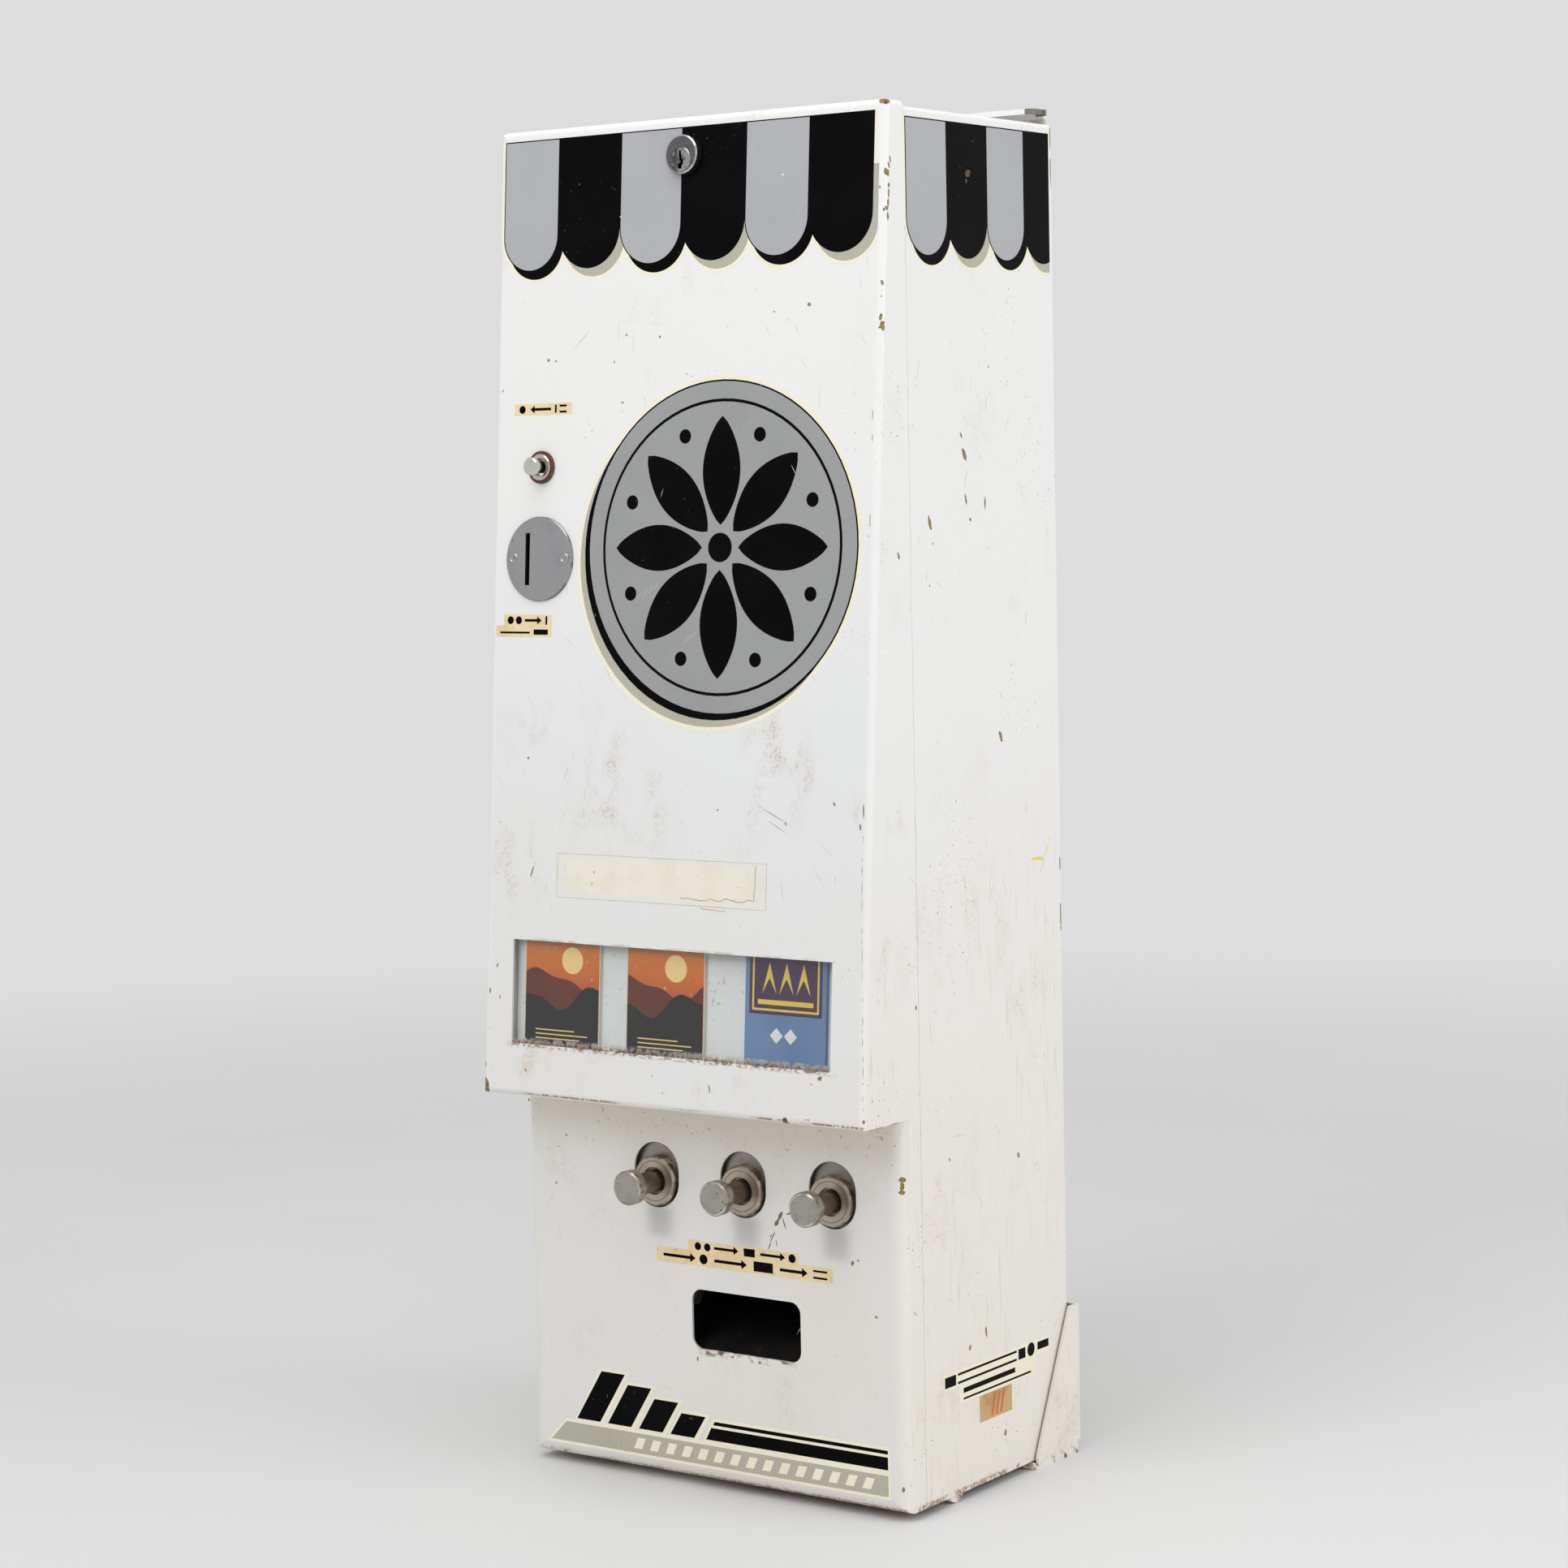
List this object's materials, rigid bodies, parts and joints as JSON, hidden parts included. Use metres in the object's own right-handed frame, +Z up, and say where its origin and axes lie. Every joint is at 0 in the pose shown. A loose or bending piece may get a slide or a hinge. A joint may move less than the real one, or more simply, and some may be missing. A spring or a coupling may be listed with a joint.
{
  "type": "condom vending machine",
  "caption": "Wall-mounted pack vending machine: tilting sheet-steel cover with wedge hood, display window, coin entry, lock, push buttons, delivery opening, pack columns and cash box.",
  "frame": {"origin": "on the standing plane under the machine, in the middle of its width and depth", "axes": "+Z up, front towards -Y, +X to the right as the customer sees it; the back plate's wall face looks to +Y"},
  "size_m": [0.2868, 0.228, 0.8235],
  "materials": {
    "cover_enamel": "aged semi-gloss enamel",
    "plate_enamel": "aged enamel",
    "zinc_steel": "dull zinc plate",
    "column_sheet": "zinc-plated sheet",
    "grey_steel": "dark steel",
    "nickel": "worn nickel plate",
    "turned_steel": "turned steel",
    "bright_steel": "bright steel",
    "spring_steel": "oiled spring wire",
    "cast_weight": "cast weight",
    "pane_glass": "clear pane",
    "tray_sheet": "grey paint",
    "card_white": "white card",
    "pack_orange": "printed carton",
    "pack_blue": "printed carton",
    "coin_aluminium": "brushed aluminium",
    "black_lacquer": "blackened sheet",
    "fibre": "vulcanised fibre",
    "lock_chrome": "worn chrome",
    "lock_brass": "nickelled brass"
  },
  "bodies": {
    "chassis": {"back_plate": "plate_enamel", "base_tray": "plate_enamel", "hinge_rod": "bright_steel", "tray_screws": "bright_steel", "frame_side_left": "zinc_steel", "frame_side_right": "zinc_steel", "button_plate": "grey_steel", "plate_screws": "bright_steel", "collar_left": "turned_steel", "collar_middle": "turned_steel", "collar_right": "turned_steel", "collar_nuts": "bright_steel", "column_shelf": "zinc_steel", "column_left": "column_sheet", "column_middle": "column_sheet", "column_right": "column_sheet", "column_rail_lower": "zinc_steel", "column_rail_upper": "zinc_steel", "delivery_chute": "black_lacquer", "coin_tube": "zinc_steel", "cash_box": "zinc_steel", "striker": "zinc_steel", "spring_left": "spring_steel", "spring_middle": "spring_steel", "spring_right": "spring_steel"},
    "cover": {"front_cover": "cover_enamel", "window_pane": "pane_glass", "display_tray": "tray_sheet", "display_card": "card_white", "sample_pack_left": "pack_orange", "sample_pack_middle": "pack_orange", "sample_pack_right": "pack_blue", "coin_plate": "coin_aluminium", "coin_plate_rivets": "coin_aluminium", "coin_selector": "coin_aluminium", "lever_pin": "bright_steel", "return_bush": "nickel", "fibre_washer": "fibre", "bush_nut": "bright_steel", "lock_case": "lock_chrome", "lock_nut": "bright_steel"},
    "lock_core": {"lock_plug": "lock_brass", "lock_cam": "grey_steel"},
    "coin_return": {"return_plunger": "nickel"},
    "coin_reject": {"reject_lever": "grey_steel"},
    "coin_release": {"release_bar": "bright_steel", "release_pawls": "grey_steel", "coin_lever": "grey_steel"},
    "push_button_left": {"button_left": "nickel", "stop_ring_left": "grey_steel", "pusher_left": "grey_steel"},
    "push_button_middle": {"button_middle": "nickel", "stop_ring_middle": "grey_steel", "pusher_middle": "grey_steel"},
    "push_button_right": {"button_right": "nickel", "stop_ring_right": "grey_steel", "pusher_right": "grey_steel"},
    "pack_weight_left": {"follower_left": "cast_weight"},
    "pack_weight_middle": {"follower_middle": "cast_weight"},
    "pack_weight_right": {"follower_right": "cast_weight"}
  },
  "joints": [
    {"name": "cover_hinge", "type": "hinge", "parent": "chassis", "child": "cover", "pos_m": [0, -0.022, 0.0095], "axis": [1, 0, 0], "range_deg": [0, 75]},
    {"name": "lock_turn", "type": "hinge", "parent": "cover", "child": "lock_core", "pos_m": [0, -0.07387, 0.79091], "axis": [0, 0.9974, -0.0727], "range_deg": [0, 90]},
    {"name": "return_push", "type": "slide", "parent": "cover", "child": "coin_return", "axis": [0, 0.9974, -0.0727], "range_m": [0, 0.006], "stiffness_N_per_m": 300, "springref_m": -0.004},
    {"name": "reject_swing", "type": "hinge", "parent": "cover", "child": "coin_reject", "pos_m": [-0.1115, -0.0502, 0.59289], "axis": [-1, 0, 0], "range_deg": [0, 19]},
    {"name": "release_turn", "type": "hinge", "parent": "chassis", "child": "coin_release", "pos_m": [0, -0.032, 0.2182], "axis": [1, 0, 0], "range_deg": [0, 8]},
    {"name": "button_push_left", "type": "slide", "parent": "chassis", "child": "push_button_left", "axis": [0, 1, 0], "range_m": [0, 0.018], "stiffness_N_per_m": 250, "springref_m": -0.012, "deforming": ["spring_left"]},
    {"name": "button_push_middle", "type": "slide", "parent": "chassis", "child": "push_button_middle", "axis": [0, 1, 0], "range_m": [0, 0.018], "stiffness_N_per_m": 250, "springref_m": -0.012, "deforming": ["spring_middle"]},
    {"name": "button_push_right", "type": "slide", "parent": "chassis", "child": "push_button_right", "axis": [0, 1, 0], "range_m": [0, 0.018], "stiffness_N_per_m": 250, "springref_m": -0.012, "deforming": ["spring_right"]},
    {"name": "weight_lift_left", "type": "slide", "parent": "chassis", "child": "pack_weight_left", "axis": [0, 0, 1], "range_m": [0, 0.5]},
    {"name": "weight_lift_middle", "type": "slide", "parent": "chassis", "child": "pack_weight_middle", "axis": [0, 0, 1], "range_m": [0, 0.5]},
    {"name": "weight_lift_right", "type": "slide", "parent": "chassis", "child": "pack_weight_right", "axis": [0, 0, 1], "range_m": [0, 0.5]}
  ],
  "couplings": [
    {"joint": "reject_swing", "follows": "return_push", "rad_per_m": 54}
  ]
}
